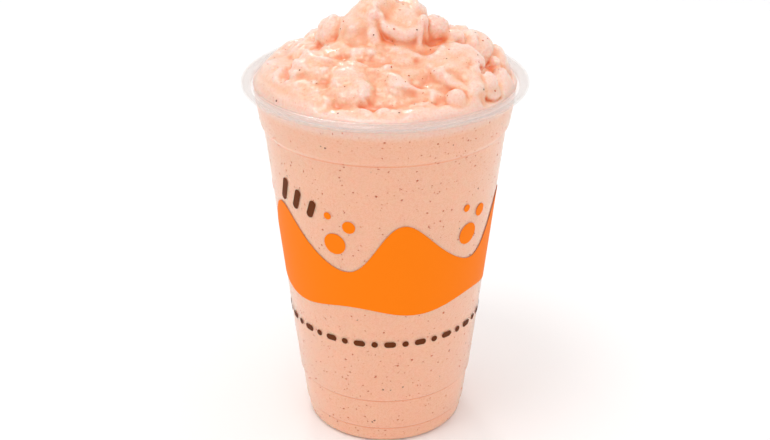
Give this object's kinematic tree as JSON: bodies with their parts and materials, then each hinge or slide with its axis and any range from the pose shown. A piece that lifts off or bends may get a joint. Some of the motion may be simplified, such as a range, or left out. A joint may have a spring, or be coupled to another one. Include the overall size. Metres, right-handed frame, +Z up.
{
  "type": "strawberry smoothie in a plastic cup",
  "caption": "Clear tapered plastic cup with a rolled rim, filled to the brim with a pink fruit smoothie that stands above it in a folded, lumpy heap.",
  "frame": {"origin": "centre of the foot ring, on the surface that the cup stands on", "axes": "+Z up along the cup's axis, -Y towards the front of the print"},
  "size_m": [0.095, 0.095, 0.1537],
  "materials": {
    "clear_plastic": "clear, slightly milky formed plastic, glossy outside",
    "smoothie": "wet blended fruit and milk ice, soft gloss, small dark seeds and red flecks",
    "print": "opaque printing ink on the outside of the wall",
    "seeds": "wet seeds and flecks of fruit skin"
  },
  "bodies": {
    "root": {"cup": "clear_plastic", "smoothie": "smoothie"}
  },
  "joints": []
}
